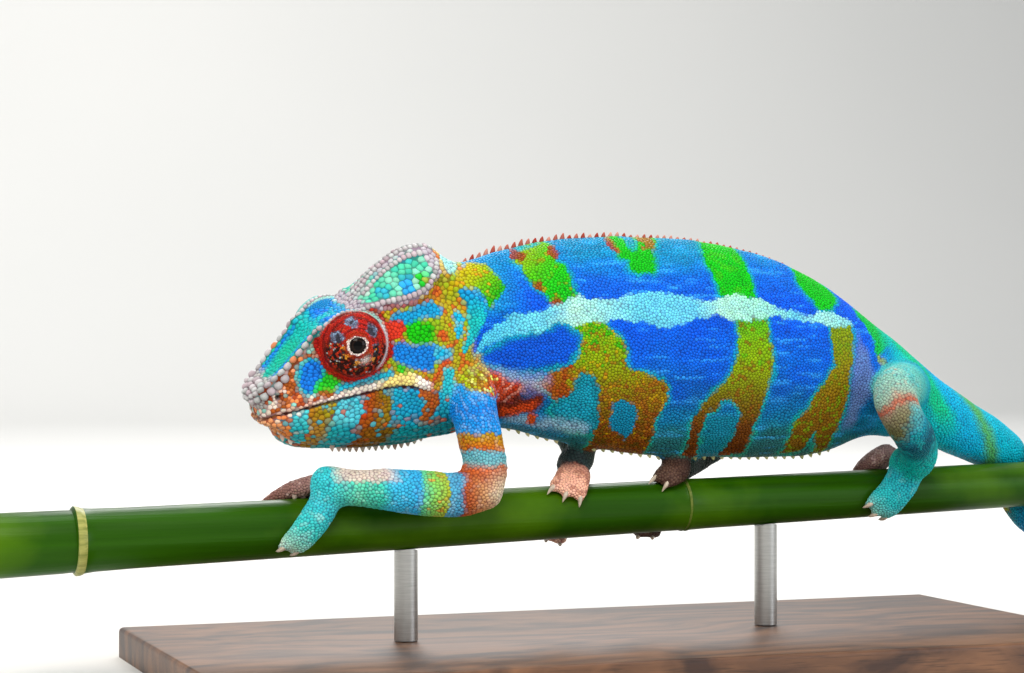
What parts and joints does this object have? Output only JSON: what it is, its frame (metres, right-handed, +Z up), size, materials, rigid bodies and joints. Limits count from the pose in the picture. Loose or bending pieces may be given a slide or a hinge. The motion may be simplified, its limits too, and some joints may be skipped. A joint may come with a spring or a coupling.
{
  "type": "panther chameleon museum model",
  "caption": "Life-size panther chameleon walking along a cut green stem, tail coiled round it, held level by a flat base and rods.",
  "frame": {"origin": "centre of the stand base's underside, which stands on the floor", "axes": "+Z up; the stem runs along X; the animal looks along -X and its left side faces -Y"},
  "size_m": [0.3263, 0.11, 0.1106],
  "materials": {
    "skin": "satin scales",
    "eye_turret": "satin scales",
    "eyeball": "gloss",
    "stem": "satin green stem",
    "base": "satin walnut",
    "rods": "brushed"
  },
  "bodies": {
    "root": {"head": "skin", "lower_jaw": "skin", "neck": "skin", "trunk": "skin", "pelvis": "skin", "tail_base": "skin", "tail_coil_1": "skin", "tail_coil_2": "skin", "tail_coil_3": "skin", "tail_tip": "skin", "upper_arm_left": "skin", "forearm_left": "skin", "hand_left": "skin", "toes_outer_hand_left": "skin", "toes_inner_hand_left": "skin", "thigh_left": "skin", "shin_left": "skin", "foot_left": "skin", "toes_outer_foot_left": "skin", "toes_inner_foot_left": "skin", "upper_arm_right": "skin", "forearm_right": "skin", "hand_right": "skin", "toes_outer_hand_right": "skin", "toes_inner_hand_right": "skin", "thigh_right": "skin", "shin_right": "skin", "foot_right": "skin", "toes_outer_foot_right": "skin", "toes_inner_foot_right": "skin", "eye_turret_left": "eye_turret", "eye_turret_right": "eye_turret", "eyeball_left": "eyeball", "eyeball_right": "eyeball", "perch_stem": "stem", "stand_base": "base", "stand_rod_front": "rods", "stand_rod_rear": "rods"}
  },
  "joints": []
}
